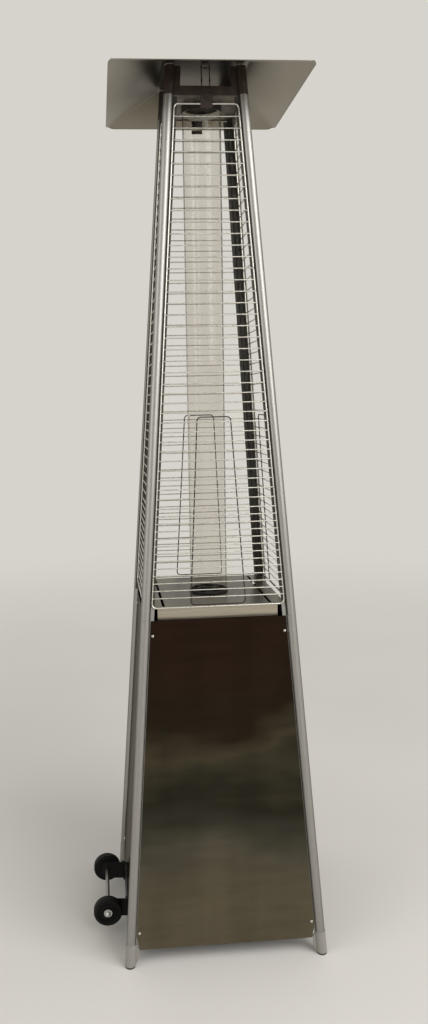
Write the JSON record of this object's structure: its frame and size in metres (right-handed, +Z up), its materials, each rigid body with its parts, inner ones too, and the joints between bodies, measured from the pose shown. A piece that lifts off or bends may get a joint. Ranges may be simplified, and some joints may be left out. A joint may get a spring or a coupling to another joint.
{
  "type": "gas patio heater",
  "caption": "Pyramid gas patio heater: leaning tube legs, glass flame tube behind wire guards, square reflector, closed base with a door, transport wheels.",
  "frame": {"origin": "middle of the bounding box on the floor", "axes": "+Z up; -Y the side seen in the picture; -X the wheels; +X the controls and the door"},
  "size_m": [0.6093, 0.5306, 2.2585],
  "materials": {
    "satin_steel_tube": "satin round tube with a soft lengthwise highlight",
    "grey_cap": "grey moulded cap",
    "black_rubber": "matt black",
    "polished_dark_steel": "polished stainless sheet that mirrors a dark floor",
    "brushed_steel": "brushed stainless sheet",
    "nickel_wire": "bright plated wire",
    "dark_head_steel": "dark heat-proof paint",
    "reflector_sheet": "satin stainless sheet, dull",
    "clear_glass": "clear, smooth",
    "silicone_seal": "dark grey silicone",
    "cast_valve": "as cast",
    "brass": "turned",
    "black_plastic": "fine texture",
    "burner_steel": "heat-tinted steel",
    "zinc_rod": "zinc-plated steel rod",
    "black_painted_steel": "semi-gloss black",
    "chrome": "polished",
    "ceramic_magnet": "dark grey"
  },
  "bodies": {
    "frame": {"leg_front_left": "satin_steel_tube", "foot_cap_front_left": "grey_cap", "foot_pad_front_left": "black_rubber", "reflector_post_front_left": "zinc_rod", "leg_front_right": "satin_steel_tube", "foot_cap_front_right": "grey_cap", "foot_pad_front_right": "black_rubber", "reflector_post_front_right": "zinc_rod", "leg_back_right": "satin_steel_tube", "foot_cap_back_right": "grey_cap", "foot_pad_back_right": "black_rubber", "reflector_post_back_right": "zinc_rod", "leg_back_left": "satin_steel_tube", "foot_cap_back_left": "grey_cap", "foot_pad_back_left": "black_rubber", "reflector_post_back_left": "zinc_rod", "panel_front": "polished_dark_steel", "panel_back": "polished_dark_steel", "panel_left": "polished_dark_steel", "burner_table": "brushed_steel", "control_shelf": "brushed_steel", "base_shelf": "black_painted_steel", "hinge_lower": "zinc_rod", "hinge_upper": "zinc_rod", "door_magnet": "ceramic_magnet", "control_fascia": "polished_dark_steel", "gas_valve": "cast_valve", "gas_inlet": "brass", "igniter_body": "black_plastic", "burner_head": "burner_steel", "burner_pipe": "burner_steel", "pilot_assembly": "burner_steel", "tilt_switch": "black_plastic", "tube_seat": "silicone_seal", "glass_tube": "clear_glass", "guard_front": "nickel_wire", "guard_right": "nickel_wire", "guard_back": "nickel_wire", "guard_left": "nickel_wire", "head_ring": "dark_head_steel", "head_plate": "brushed_steel", "glass_collar": "brushed_steel", "flame_screen": "dark_head_steel", "centre_stay": "dark_head_steel", "reflector": "reflector_sheet", "wheel_bracket": "black_painted_steel", "axle": "zinc_rod", "hub_nut_front": "chrome", "hub_nut_back": "chrome"},
    "door_body": {"door": "polished_dark_steel", "door_handle": "chrome"},
    "stem_body": {"valve_stem": "brass"},
    "knob_body": {"knob": "black_plastic"},
    "button_body": {"igniter_button": "black_plastic"},
    "front_wheel_body": {"wheel_front": "black_rubber"},
    "back_wheel_body": {"wheel_back": "black_rubber"}
  },
  "joints": [
    {"name": "door_hinge", "type": "hinge", "parent": "frame", "child": "door_body", "pos_m": [0.2921, -0.22267, 0.04318], "axis": [0.0727, -0.0727, -0.9947], "range_deg": [0, 110]},
    {"name": "valve_push", "type": "slide", "parent": "frame", "child": "stem_body", "axis": [-0.9973, 0, -0.0729], "range_m": [0, 0.004], "stiffness_N_per_m": 600, "springref_m": -0.001},
    {"name": "knob_turn", "type": "hinge", "parent": "stem_body", "child": "knob_body", "pos_m": [0.22931, 0, 0.8465], "axis": [0.9973, 0, 0.0729], "range_deg": [0, 200]},
    {"name": "igniter_push", "type": "slide", "parent": "frame", "child": "button_body", "axis": [-0.9973, 0, -0.0729], "range_m": [0, 0.006], "stiffness_N_per_m": 400, "springref_m": -0.001},
    {"name": "front_wheel_spin", "type": "hinge", "parent": "frame", "child": "front_wheel_body", "pos_m": [-0.2657, 0, 0.0657], "axis": [0, 1, 0], "continuous": true},
    {"name": "back_wheel_spin", "type": "hinge", "parent": "frame", "child": "back_wheel_body", "pos_m": [-0.2657, 0, 0.0657], "axis": [0, 1, 0], "continuous": true}
  ]
}
